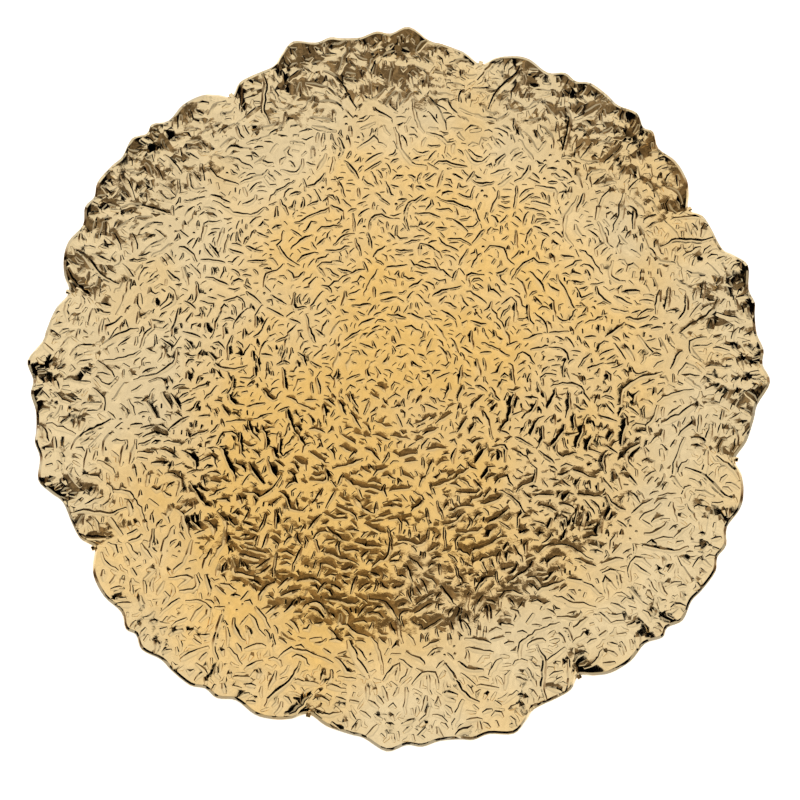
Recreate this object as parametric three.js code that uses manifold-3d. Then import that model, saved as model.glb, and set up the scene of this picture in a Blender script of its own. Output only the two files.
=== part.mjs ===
// Decorative tray: a shallow round dish moulded in one piece, with a ruffled rim, a foot ring
// under the floor and the stubs of the eight rim gates, standing on four bumper pads.
// Millimetres, +Z up. The origin is under the middle of the tray, on the surface it stands on.

import * as THREE from "three";
import { mergeVertices } from "three/addons/utils/BufferGeometryUtils.js";
import Module from "manifold-3d";

// Dish
const FLOOR_RADIUS = 113;
const RIM_RADIUS = 161;
const RIM_RISE = 9;
const WALL_BLEND = 25;
const SHELL_THICKNESS = 2;

// Ruffled edge: a lobe that reaches further out also stands higher, and the ruffles fade inwards
const RUFFLE_SLOPE = 0.65;
const RUFFLE_FADE = 3;
const LIP_ROUND = 0.6;

// Foot ring, just inside the edge of the flat floor
const FOOT_HEIGHT = 2.5;
const FOOT_INSET = 5;
const FOOT_DRAFT = 0.5;

// Bumper pads, stuck under the foot ring
const PAD_COUNT = 4;
const PAD_DIAMETER = 8;
const PAD_THICKNESS = 1.2;
const PAD_CHAMFER = 0.4;
const PAD_MARGIN = 1;
const PAD_SEGMENTS = 24;

// Gate stubs, snapped off short in the notches of the rim
const GATE_WIDTH = 2;
const GATE_THICKNESS = 1.2;
const GATE_STANDOUT = 1.2;
const GATE_ROOT = 2;

// One quarter of the rim, with two notches: degrees after its first notch, and how far the edge
// lies outside RIM_RADIUS. The quarter repeats round the tray.
const FIRST_NOTCH = 30;
const QUARTER = 90;
const NOTCH_DEPTH = 6.8;
const NOTCHES = [0, 45.3];
const QUARTER_RIM = [
  [NOTCHES[0], -NOTCH_DEPTH], [2, -3.6], [4.3, -0.6], [7.8, 0.5], [11.3, -1], [13.8, 2.1],
  [15.5, 0.8], [17.8, 3.4], [21, 1.3], [23.3, 2.1], [26.8, 2.6], [29, 0.4], [31.3, 1.3],
  [34, -1.5], [37.5, 0.6], [40.3, -0.3], [43, -3],
  [NOTCHES[1], -NOTCH_DEPTH], [48.5, -3.6], [52.3, -1.8], [54.5, -0.9], [58, 4], [61, 1.4],
  [63.3, 2.3], [66, 0.6], [69, 1.1], [71, 2.3], [73.5, 1.4], [77, 4], [79.5, 0.4],
  [81.3, -2.7], [85, -3], [87.8, -3.5],
];

// Rings that make up the wall, as shares of the way from the floor's edge to the lip
const UPPER_RINGS = [0, 0.2, 0.45, 0.7, 0.88, 1];
const LOWER_RINGS = [1, 0.86, 0.62, 0.3, 0];

// Heights of the stack, from the standing surface up
const FOOT_BOTTOM = PAD_THICKNESS;
const FLOOR_BOTTOM = FOOT_BOTTOM + FOOT_HEIGHT;
const FLOOR_TOP = FLOOR_BOTTOM + SHELL_THICKNESS;
const FOOT_WIDTH = PAD_DIAMETER + 2 * PAD_MARGIN;
const FOOT_OUTER = FLOOR_RADIUS - FOOT_INSET;
const FOOT_INNER = FOOT_OUTER - FOOT_WIDTH;

const gold = new THREE.MeshStandardMaterial({ color: 0xe0bd78, roughness: 0.2, metalness: 1 });
const silicone = new THREE.MeshStandardMaterial({ color: 0xd9d6cc, roughness: 0.45, metalness: 0 });

const wasm = await Module();
wasm.setup();

function solidFrom(geometry) {
  const bare = geometry.clone();
  bare.deleteAttribute("normal");
  bare.deleteAttribute("uv");
  const merged = mergeVertices(bare);
  return new wasm.Manifold(new wasm.Mesh({
    numProp: 3,
    vertProperties: merged.attributes.position.array,
    triVerts: new Uint32Array(merged.index.array),
  }));
}

function geometryFrom(solid) {
  const mesh = solid.getMesh();
  const geometry = new THREE.BufferGeometry();
  geometry.setAttribute("position", new THREE.BufferAttribute(mesh.vertProperties, 3));
  geometry.setIndex(new THREE.BufferAttribute(mesh.triVerts, 1));
  geometry.computeVertexNormals();
  return geometry;
}

const QUARTER_STARTS = [0, 1, 2, 3].map((turn) => FIRST_NOTCH + turn * QUARTER);

// A point of the lip's outermost line
function lipPoint(degrees, reach) {
  const angle = THREE.MathUtils.degToRad(degrees);
  const radius = RIM_RADIUS + reach;
  const height = FLOOR_TOP + RIM_RISE + RUFFLE_SLOPE * reach;
  return new THREE.Vector3(radius * Math.cos(angle), radius * Math.sin(angle), height);
}

// The lip's line all round, through the quarter's points and halfway between them
function lipLine() {
  const points = QUARTER_STARTS.flatMap((start) => (
    QUARTER_RIM.map(([degrees, reach]) => lipPoint(start + degrees, reach))
  ));
  const curve = new THREE.CatmullRomCurve3(points, true, "catmullrom", 0.5);
  return curve.getPoints(2 * points.length).slice(0, -1);
}

// Height of the plain wall over the floor, eased out of the flat floor into a straight slope
function wallRise(radius) {
  const run = Math.max(radius - FLOOR_RADIUS, 0);
  const fullRun = RIM_RADIUS - FLOOR_RADIUS;
  const slope = RIM_RISE * (fullRun + WALL_BLEND) / fullRun ** 2;
  return slope * run ** 2 / (run + WALL_BLEND);
}

// A ring of the wall: a share of the way from the floor's edge to the lip
function wallRing(lip, share, drop) {
  return lip.map((point) => {
    const lipRadius = Math.hypot(point.x, point.y);
    const reach = lipRadius - LIP_ROUND;
    const radius = FLOOR_RADIUS + (reach - FLOOR_RADIUS) * share;
    const ruffle = point.z - FLOOR_TOP - wallRise(lipRadius);
    const height = FLOOR_TOP + wallRise(radius) + ruffle * share ** RUFFLE_FADE;
    return new THREE.Vector3(point.x, point.y, 0).setLength(radius).setZ(height - drop);
  });
}

// A level circle with one point under each point of the lip
function circleRing(lip, radius, height) {
  return lip.map((point) => new THREE.Vector3(point.x, point.y, 0).setLength(radius).setZ(height));
}

// A closed skin over rings listed from the middle of one side, over the lip, to the other
function skinOver(rings, firstPole, lastPole) {
  const count = rings[0].length;
  const positions = [firstPole, ...rings.flat(), lastPole].flatMap((point) => point.toArray());
  const last = positions.length / 3 - 1;
  const indices = [];
  for (let side = 0; side < count; side += 1) {
    const next = (side + 1) % count;
    indices.push(0, 1 + side, 1 + next);
    for (let ring = 0; ring < rings.length - 1; ring += 1) {
      const inner = 1 + ring * count;
      const outer = inner + count;
      indices.push(inner + side, outer + side, outer + next);
      indices.push(inner + side, outer + next, inner + next);
    }
    const rim = 1 + (rings.length - 1) * count;
    indices.push(rim + side, last, rim + next);
  }
  const geometry = new THREE.BufferGeometry();
  geometry.setAttribute("position", new THREE.Float32BufferAttribute(positions, 3));
  geometry.setIndex(indices);
  return geometry;
}

function dishGeometry() {
  const lip = lipLine();
  const rings = [
    ...UPPER_RINGS.map((share) => wallRing(lip, share, 0)),
    lip.map((point) => point.clone().setZ(point.z - SHELL_THICKNESS / 2)),
    ...LOWER_RINGS.map((share) => wallRing(lip, share, SHELL_THICKNESS)),
    circleRing(lip, FOOT_OUTER, FLOOR_BOTTOM),
    circleRing(lip, FOOT_OUTER - FOOT_DRAFT, FOOT_BOTTOM),
    circleRing(lip, FOOT_INNER + FOOT_DRAFT, FOOT_BOTTOM),
    circleRing(lip, FOOT_INNER, FLOOR_BOTTOM),
  ];
  const top = new THREE.Vector3(0, 0, FLOOR_TOP);
  const bottom = new THREE.Vector3(0, 0, FLOOR_BOTTOM);
  return skinOver(rings, top, bottom);
}

// The stub of one gate: a short bar rooted in the shell at the middle of its notch
function gateGeometry(degrees) {
  const notch = lipPoint(degrees, -NOTCH_DEPTH);
  const length = GATE_ROOT + GATE_STANDOUT;
  const middle = RIM_RADIUS - NOTCH_DEPTH + GATE_STANDOUT - length / 2;
  const bar = new THREE.BoxGeometry(length, GATE_WIDTH, GATE_THICKNESS);
  bar.translate(middle, 0, notch.z - SHELL_THICKNESS / 2);
  return bar.rotateZ(THREE.MathUtils.degToRad(degrees));
}

function shellGeometry() {
  const notches = QUARTER_STARTS.flatMap((start) => NOTCHES.map((degrees) => start + degrees));
  const gates = notches.map((degrees) => solidFrom(gateGeometry(degrees)));
  const dish = solidFrom(dishGeometry());
  return geometryFrom(gates.reduce((body, gate) => body.add(gate), dish));
}

function padGeometry() {
  const radius = PAD_DIAMETER / 2;
  return new THREE.LatheGeometry([
    new THREE.Vector2(0, 0),
    new THREE.Vector2(radius - PAD_CHAMFER, 0),
    new THREE.Vector2(radius, PAD_CHAMFER),
    new THREE.Vector2(radius, PAD_THICKNESS),
    new THREE.Vector2(0, PAD_THICKNESS),
  ], PAD_SEGMENTS).rotateX(Math.PI / 2);
}

const tray = new THREE.Group();

const shell = new THREE.Mesh(shellGeometry(), gold);
shell.name = "tray_shell";
tray.add(shell);

for (let index = 0; index < PAD_COUNT; index += 1) {
  const angle = (index + 0.5) * 2 * Math.PI / PAD_COUNT;
  const ring = (FOOT_OUTER + FOOT_INNER) / 2;
  const pad = new THREE.Mesh(padGeometry(), silicone.clone());
  pad.name = `bumper_pad_${index + 1}`;
  pad.position.set(ring * Math.cos(angle), ring * Math.sin(angle), 0);
  tray.add(pad);
}

export default tray;
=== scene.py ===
# %% [markdown]
# # A crinkled gold tray
#
# The real tray is one thin plastic moulding, plated in bright gold and pressed all over with short
# creases, like foil that was crumpled and smoothed out again. It stands on four clear bumper pads.
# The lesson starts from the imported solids, which give every size and place, and then models the
# creases as real grooves, because a mirror finish shows at once where a bump is only painted on.

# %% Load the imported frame
import math
import random

import bmesh
import bpy
import numpy as np
from mathutils import Matrix, Vector
from mathutils import noise as smooth_noise
from mathutils.geometry import delaunay_2d_cdt


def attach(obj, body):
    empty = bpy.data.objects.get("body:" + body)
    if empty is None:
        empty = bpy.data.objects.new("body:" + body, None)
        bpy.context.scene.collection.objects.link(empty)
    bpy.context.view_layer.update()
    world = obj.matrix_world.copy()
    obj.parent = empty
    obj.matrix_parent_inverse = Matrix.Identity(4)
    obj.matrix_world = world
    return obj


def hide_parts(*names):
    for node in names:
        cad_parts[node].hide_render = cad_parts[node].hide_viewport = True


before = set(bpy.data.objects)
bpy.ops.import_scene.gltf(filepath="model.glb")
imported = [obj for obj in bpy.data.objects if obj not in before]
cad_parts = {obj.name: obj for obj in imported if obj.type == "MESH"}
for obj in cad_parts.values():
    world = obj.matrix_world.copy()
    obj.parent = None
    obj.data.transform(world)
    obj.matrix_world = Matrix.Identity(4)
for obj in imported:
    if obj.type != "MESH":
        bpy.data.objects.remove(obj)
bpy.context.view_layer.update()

MM = 0.001

# %% [markdown]
# ## The camera
#
# The tray is seen almost straight down, a little from the front, so that its round rim is nearly a
# circle. A camera can be placed by hand, but a distance and a tilt are easier to reason about: the
# camera stands on a sphere round the middle of the dish floor and aims just in front of it.

# %% Place the camera
FLOOR_TOP = 5.7
CAMERA_DISTANCE = 0.7184
CAMERA_TILT = math.radians(12.99)
CAMERA_LENS = 71.8
CAMERA_AIM = Vector((0.0007, -0.0108, FLOOR_TOP * MM))

camera = bpy.data.objects.new("camera", bpy.data.cameras.new("camera"))
camera.data.lens = CAMERA_LENS
camera.location = (
    0,
    -CAMERA_DISTANCE * math.sin(CAMERA_TILT),
    CAMERA_DISTANCE * math.cos(CAMERA_TILT) + FLOOR_TOP * MM,
)
camera.rotation_mode = "QUATERNION"
camera.rotation_quaternion = (CAMERA_AIM - camera.location).to_track_quat("-Z", "Y")
bpy.context.collection.objects.link(camera)
bpy.context.scene.camera = camera
bpy.context.scene.view_settings.view_transform = "Standard"
print("camera at", [round(value, 3) for value in camera.location])

# %% [markdown]
# ## Floor and studio light
#
# A mirror finish is mostly a picture of the room, so the light matters as much as the material. One
# wide softbox hangs over the tray and fills its flat floor with a pale glow. Its front part, over the
# camera, is a mottled brown, which shows in the near half of the floor and in the far rim. Its sides
# are unlit, and they draw each crease as a dark line. A lamp would show a hard edge in the mirror, so
# the softbox is a glowing panel that fades out. The walls of the room are pale in front, behind and
# low down all round, so that the tray is gold from every side.

# %% Small helpers for nodes
def add_node(tree, kind, inputs=None, **values):
    """A new node with its properties set and its inputs fed; an input is a value or a socket."""
    node = tree.nodes.new(kind)
    for name, value in values.items():
        setattr(node, name, value)
    for name, value in (inputs or {}).items():
        if isinstance(value, bpy.types.NodeSocket):
            tree.links.new(value, node.inputs[name])
        else:
            node.inputs[name].default_value = value
    return node


def math_node(tree, operation, first, *others):
    """A sum on values, taken from left to right; a value is a number or a socket."""
    for other in others or (0.0,):
        node = add_node(tree, "ShaderNodeMath", {0: first, 1: other}, operation=operation)
        first = node.outputs[0]
    return first


def seen_ray(tree):
    """A value of 1 for the rays that show the background: camera, glossy and transmission rays."""
    path = add_node(tree, "ShaderNodeLightPath").outputs
    kinds = ("Is Camera Ray", "Is Glossy Ray", "Is Transmission Ray")
    return math_node(tree, "MAXIMUM", *[path[kind] for kind in kinds])


# %% Small helpers for materials and objects
def new_material(name):
    """An empty node material and its tree."""
    material = bpy.data.materials.new(name)
    material.use_nodes = True
    material.node_tree.nodes.clear()
    return material, material.node_tree


def show_shader(tree, shader, kind="Material"):
    """A shader linked to the output of a tree, which belongs to a material or to the world."""
    add_node(tree, "ShaderNodeOutput" + kind, {"Surface": shader.outputs[0]})


def mesh_from(name, shape):
    """A mesh with the faces of a finished shape, which is let go."""
    mesh = bpy.data.meshes.new(name)
    shape.to_mesh(mesh)
    shape.free()
    return mesh


def add_object(name, mesh):
    """A mesh placed in the scene at the origin."""
    obj = bpy.data.objects.new(name, mesh)
    bpy.context.collection.objects.link(obj)
    return obj


# %% Floor
FLOOR_SIDE = 12.0
FLOOR_WHITE = (0.86, 0.86, 0.85, 1)
FLOOR_GLOW = 0.88

material, tree = new_material("pale floor")
paint = add_node(tree, "ShaderNodeBsdfDiffuse", {"Color": FLOOR_WHITE})
strength = math_node(tree, "MULTIPLY", seen_ray(tree), FLOOR_GLOW)
glow = add_node(tree, "ShaderNodeEmission", {"Strength": strength})
show_shader(tree, add_node(tree, "ShaderNodeAddShader", {0: paint.outputs[0], 1: glow.outputs[0]}))

sheet = bmesh.new()
bmesh.ops.create_grid(sheet, x_segments=1, y_segments=1, size=FLOOR_SIDE / 2)
floor = add_object("floor", mesh_from("floor", sheet))
floor.data.materials.append(material)
print("floor", FLOOR_SIDE, "m square")

# %% Small helpers for patterns
COLOUR_A, COLOUR_B, COLOUR_RESULT = 6, 7, 2
NOISE_MIDDLE = (0.35, 0.65)
NOISE_DETAIL = 2.0


def map_range(tree, value, start, end, low=0.0, high=1.0, kind="LINEAR"):
    """A value mapped from one range to another, and held at its ends."""
    inputs = {"Value": value, "From Min": start, "From Max": end, "To Min": low, "To Max": high}
    return add_node(tree, "ShaderNodeMapRange", inputs, interpolation_type=kind).outputs[0]


def smooth_step(tree, value, span, low=0.0, high=1.0):
    """A smooth step from one level to another, across a span of the value."""
    return map_range(tree, value, *span, low, high, "SMOOTHSTEP")


def blend_colour(tree, value, first, second):
    """Two colours mixed by a value; a colour is four numbers or a socket."""
    inputs = {"Factor": value, COLOUR_A: first, COLOUR_B: second}
    return add_node(tree, "ShaderNodeMix", inputs, data_type="RGBA").outputs[COLOUR_RESULT]


def place_of(tree, kind="Object"):
    """The place of the shaded point, in one kind of texture coordinates."""
    return add_node(tree, "ShaderNodeTexCoord").outputs[kind]


def noise(tree, spacing, low=0.0, high=1.0):
    """A noise between two levels, its lumps about a spacing apart in metres, on Object coordinates."""
    inputs = {"Vector": place_of(tree), "Scale": 1 / spacing, "Detail": NOISE_DETAIL}
    lumps = add_node(tree, "ShaderNodeTexNoise", inputs).outputs["Fac"]
    return map_range(tree, lumps, *NOISE_MIDDLE, low, high)


# %% Softbox panel
PANEL_HEIGHT = 2.3
PANEL_SIDE = 2.5
PANEL_FRONT = -2.5
PANEL_BACK = 3.2
PANEL_LIGHT = 1.13
FRONT_DIM = (0.1, 0.42)
PANEL_CLOUD = (0.84, 1.03)
MOTTLE_SPACING = 0.3
FRONT_WANDER = 0.07
FRONT_BROWN = (1.0, 0.78, 0.54, 1)
FRONT_FADE = (-0.08, 0.14)
FRONT_SWEEP = 0.25
FAR_FRONT_FADE = (-2.0, 0.1)
FRONT_SHARE = 0.92
REAR_GAIN = (0.3, 0.95)
SIDE_FADE = (0.66, 0.88)
SIDE_FLARE = (0.5, 1.3)
FLARE_WIDTH = 1.5
BACK_FADE = (2.4, 3.1)
PANEL_WHITE = (1.0, 0.99, 0.97, 1)

material, tree = new_material("softbox")
sideways, backwards, _ = add_node(tree, "ShaderNodeSeparateXYZ", {0: place_of(tree)}).outputs
from_middle = math_node(tree, "ABSOLUTE", sideways)
sweep = math_node(tree, "MULTIPLY", from_middle, FRONT_SWEEP)
wander = noise(tree, MOTTLE_SPACING / 2, -FRONT_WANDER, FRONT_WANDER)
swept = math_node(tree, "ADD", math_node(tree, "SUBTRACT", backwards, sweep), wander)
cover = smooth_step(tree, swept, FRONT_FADE)
mottle = noise(tree, MOTTLE_SPACING, *FRONT_DIM)
flare = smooth_step(tree, backwards, SIDE_FLARE, 0, FLARE_WIDTH)
light = math_node(
    tree, "MULTIPLY",
    math_node(tree, "MAXIMUM", mottle, math_node(tree, "MULTIPLY", cover, PANEL_LIGHT)),
    noise(tree, MOTTLE_SPACING / 2, *PANEL_CLOUD),
    smooth_step(tree, backwards, FAR_FRONT_FADE),
    smooth_step(tree, backwards, REAR_GAIN, FRONT_SHARE, 1),
    smooth_step(tree, backwards, BACK_FADE, 1, 0),
    smooth_step(tree, math_node(tree, "SUBTRACT", from_middle, flare), SIDE_FADE, 1, 0),
)
colour = blend_colour(tree, cover, FRONT_BROWN, PANEL_WHITE)
show_shader(tree, add_node(tree, "ShaderNodeEmission", {"Color": colour, "Strength": light}))

left_front = (-PANEL_SIDE, PANEL_FRONT, PANEL_HEIGHT)
left_back = (-PANEL_SIDE, PANEL_BACK, PANEL_HEIGHT)
right_back = (PANEL_SIDE, PANEL_BACK, PANEL_HEIGHT)
right_front = (PANEL_SIDE, PANEL_FRONT, PANEL_HEIGHT)
panel = add_object("softbox", bpy.data.meshes.new("softbox"))
panel.data.from_pydata([left_front, left_back, right_back, right_front], [], [(0, 1, 2, 3)])
panel.data.materials.append(material)
panel.visible_camera = False
print("softbox", 2 * PANEL_SIDE, "by", PANEL_BACK - PANEL_FRONT, "m, at", PANEL_HEIGHT, "m")

# %% Room
ROOM_BROWN = (1.0, 0.64, 0.36, 1)
ROOM_WHITE = (1.0, 1.0, 1.0, 1)
ROOM_DIM = 0.1
SIDE_DIM = 0.6
SIDE_WALL_FADE = (0.45, 0.85)
BACK_WALL = 0.75
BACK_WALL_FADE = (0.12, 0.5)
FRONT_WALL = 0.45
FRONT_WALL_FADE = (-0.12, 0.16)
BACKDROP_FADE = (0.06, 0.18)

world = bpy.data.worlds.new("studio")
bpy.context.scene.world = world
world.use_nodes = True
tree = world.node_tree
tree.nodes.clear()
direction = place_of(tree, "Generated")
sideways, backwards, upwards = add_node(tree, "ShaderNodeSeparateXYZ", {0: direction}).outputs
from_middle = math_node(tree, "ABSOLUTE", sideways)
dim = smooth_step(tree, from_middle, SIDE_WALL_FADE, ROOM_DIM, ROOM_DIM * SIDE_DIM)
back = smooth_step(tree, backwards, BACK_WALL_FADE)
front = smooth_step(tree, backwards, FRONT_WALL_FADE, 1, 0)
backdrop = smooth_step(tree, upwards, BACKDROP_FADE, 1, 0)
back_light = math_node(tree, "MULTIPLY", back, BACK_WALL)
front_light = math_node(tree, "MULTIPLY", front, FRONT_WALL)
light = math_node(tree, "MAXIMUM", math_node(tree, "ADD", dim, back_light, front_light), backdrop)
white = math_node(tree, "MAXIMUM", back, front, backdrop)
colour = blend_colour(tree, white, ROOM_BROWN, ROOM_WHITE)
background = add_node(tree, "ShaderNodeBackground", {"Color": colour, "Strength": light})
show_shader(tree, background, "World")
print("room:", len(tree.nodes), "nodes")

# %% [markdown]
# ## The gold finish
#
# Vacuum plating is a mirror-bright metal skin on plastic. It is a deeper gold in the middle of the
# dish and in a patch at the front left than on the rest of the wall, its colour wanders a little, and
# it is duller in the creases, where the polish of the mould never reached. The creases are also
# painted a darker gold, a painted shade that deepens their lines. The noise runs on Object
# coordinates in metres, so its scale is a real size, and two attributes that the mesh will carry say
# where the creases and the lip are.

# %% Gold plating
GOLD_PALE = (0.785, 0.615, 0.355, 1)
GOLD_DEEP = (0.835, 0.53, 0.17, 1)
# Painted shade: the darker gold that the deep creases are painted with.
GOLD_CREASE_SHADE = (0.72, 0.55, 0.3, 1)
GOLD_WORN = (0.84, 0.76, 0.60, 1)
DEEP_REACH = (0.03, 0.15)
OUTER_PALENESS = 0.8
PALE_SIDE = (-2.4, 0.8, 0)
WARM_SPOT = (-0.065, -0.085, 0)
WARM_REACH = (0.03, 0.1)
WARM_TINT = -0.55
CLOUD_SPACING = 0.045
CLOUD_TINT = (-0.3, 0.3)
RUB_SPACING = 0.006
RUB_SHARE = (0.2, 1)
POLISH_SPACING = 0.012
POLISH_ROUGHNESS = (0.05, 0.09)
CREASE_DULLNESS = 0.06
GRAIN_HEIGHT = 0.00005
GOLD_GRAIN_SPACING = 0.0016
GOLD_GRAIN = 0.25


def vector_measure(tree, operation, first, second=(0, 0, 0)):
    """A number measured on one or two vectors, such as a length or a distance."""
    node = add_node(tree, "ShaderNodeVectorMath", {0: first, 1: second}, operation=operation)
    return node.outputs["Value"]


def attribute(tree, name):
    """The value of a mesh attribute."""
    return add_node(tree, "ShaderNodeAttribute", attribute_name=name).outputs["Fac"]


def grain(tree, spacing, strength):
    """A normal roughened by a fine grain."""
    inputs = {"Height": noise(tree, spacing), "Strength": strength, "Distance": GRAIN_HEIGHT}
    return add_node(tree, "ShaderNodeBump", inputs).outputs[0]


def gold_plating():
    """Bright gold plating on moulded plastic."""
    material, tree = new_material("gold plating")
    place = place_of(tree)
    outer = smooth_step(tree, vector_measure(tree, "LENGTH", place), DEEP_REACH, 0, OUTER_PALENESS)
    paler = map_range(tree, vector_measure(tree, "DOT_PRODUCT", place, PALE_SIDE), 0, 1)
    off_spot = vector_measure(tree, "DISTANCE", place, WARM_SPOT)
    warmer = smooth_step(tree, off_spot, WARM_REACH, WARM_TINT, 0)
    patches = math_node(tree, "ADD", warmer, noise(tree, CLOUD_SPACING, *CLOUD_TINT))
    tint = math_node(tree, "ADD", outer, paler, patches)
    tint.node.use_clamp = True
    gold = blend_colour(tree, tint, GOLD_DEEP, GOLD_PALE)
    crease = attribute(tree, "crease")
    # Painted shade: the gold is painted darker towards the bottom of each crease.
    crease_shaded = blend_colour(tree, crease, gold, GOLD_CREASE_SHADE)
    rubbed = math_node(tree, "MULTIPLY", attribute(tree, "lip"), noise(tree, RUB_SPACING, *RUB_SHARE))
    polish = noise(tree, POLISH_SPACING, *POLISH_ROUGHNESS)
    dulled = math_node(tree, "MULTIPLY", crease, CREASE_DULLNESS)
    show_shader(tree, add_node(tree, "ShaderNodeBsdfPrincipled", {
        "Base Color": blend_colour(tree, rubbed, crease_shaded, GOLD_WORN),
        "Metallic": 1.0,
        "Roughness": math_node(tree, "ADD", polish, dulled),
        "Normal": grain(tree, GOLD_GRAIN_SPACING, GOLD_GRAIN),
    }))
    return material


GOLD = gold_plating()
print("finish:", GOLD.name, len(GOLD.node_tree.nodes), "nodes")

# %% [markdown]
# ## The rim, one quarter of it
#
# The lip is an uneven scalloped line with two deep notches in each quarter, and the quarter repeats
# four times round the tray. A lobe that reaches further out also stands higher. A handful of points
# with a smooth curve through them gives the same line as the solid model has.

# %% Rim line
FLOOR_RADIUS = 113.0
RIM_RADIUS = 161.0
RIM_RISE = 9.0
WALL_BLEND = 25.0
SHELL_THICKNESS = 2.0
RUFFLE_SLOPE = 0.65
RUFFLE_FADE = 3
LIP_ROUND = 0.6
FIRST_NOTCH = math.radians(30)
QUARTER = math.radians(90)
NOTCH_DEPTH = 6.8
NOTCHES = (0, 45.3)
RIM_STEPS = 4

QUARTER_RIM = [
    (NOTCHES[0], -NOTCH_DEPTH), (2, -3.6), (4.3, -0.6), (7.8, 0.5), (11.3, -1), (13.8, 2.1),
    (15.5, 0.8), (17.8, 3.4), (21, 1.3), (23.3, 2.1), (26.8, 2.6), (29, 0.4), (31.3, 1.3),
    (34, -1.5), (37.5, 0.6), (40.3, -0.3), (43, -3),
    (NOTCHES[1], -NOTCH_DEPTH), (48.5, -3.6), (52.3, -1.8), (54.5, -0.9), (58, 4), (61, 1.4),
    (63.3, 2.3), (66, 0.6), (69, 1.1), (71, 2.3), (73.5, 1.4), (77, 4), (79.5, 0.4),
    (81.3, -2.7), (85, -3), (87.8, -3.5),
]


def curve_point(before, start, end, after, share):
    """A point of the smooth curve from start to end, given the points on either side of them."""
    leave, arrive = (end - before) / 2, (after - start) / 2
    square, cube = share ** 2, share ** 3
    return (
        (2 * cube - 3 * square + 1) * start
        + (cube - 2 * square + share) * leave
        + (3 * square - 2 * cube) * end
        + (cube - square) * arrive
    )


def to_polar(points):
    """Radii and angles of points."""
    return np.hypot(points[:, 0], points[:, 1]), np.arctan2(points[:, 1], points[:, 0])


def from_polar(radius, angle):
    """Flat points at some radii and angles."""
    return np.stack((radius * np.cos(angle), radius * np.sin(angle)), axis=1)


def rim_line():
    """Angle, radius and height along the lip of one quarter, from its first notch to the next."""
    points = []
    for turn in (-1, 0, 1):
        for degrees, reach in QUARTER_RIM:
            angle = math.radians(degrees) + turn * QUARTER
            radius = RIM_RADIUS + reach
            height = FLOOR_TOP + RIM_RISE + RUFFLE_SLOPE * reach
            points.append(np.array((radius * math.cos(angle), radius * math.sin(angle), height)))
    first = len(QUARTER_RIM)
    line = []
    for index in range(first, 2 * first):
        for step in range(RIM_STEPS):
            line.append(curve_point(*points[index - 1:index + 3], step / RIM_STEPS))
    line.append(points[2 * first])
    line = np.array(line)
    radii, angles = to_polar(line)
    return angles, radii, line[:, 2]


RIM_ANGLES, RIM_RADII, RIM_HEIGHTS = rim_line()
print("rim line:", len(RIM_ANGLES), "points a quarter, radius",
      round(RIM_RADII.min(), 1), "to", round(RIM_RADII.max(), 1), "mm")


# %% Height of the plain dish
def lip_at(angle):
    """Radius and height of the lip at an angle."""
    within = np.mod(angle, QUARTER)
    return np.interp(within, RIM_ANGLES, RIM_RADII), np.interp(within, RIM_ANGLES, RIM_HEIGHTS)


def wall_rise(radius):
    """Height of the plain wall over the floor, eased out of the flat floor into a straight slope."""
    run = np.maximum(radius - FLOOR_RADIUS, 0)
    full = RIM_RADIUS - FLOOR_RADIUS
    slope = RIM_RISE * (full + WALL_BLEND) / full ** 2
    return slope * run ** 2 / (run + WALL_BLEND)


def dish_height(radius, angle):
    """Height of the face of the dish without its creases."""
    lip_radius, lip_height = lip_at(angle)
    reach = lip_radius - LIP_ROUND
    share = np.clip((radius - FLOOR_RADIUS) / (reach - FLOOR_RADIUS), 0, 1)
    ruffle = lip_height - FLOOR_TOP - wall_rise(lip_radius)
    return FLOOR_TOP + wall_rise(radius) + ruffle * share ** RUFFLE_FADE


print("wall: rises", wall_rise(RIM_RADIUS), "mm, ruffled from", round(RIM_HEIGHTS.min(), 1),
      "to", round(RIM_HEIGHTS.max(), 1), "mm over the table")
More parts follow.
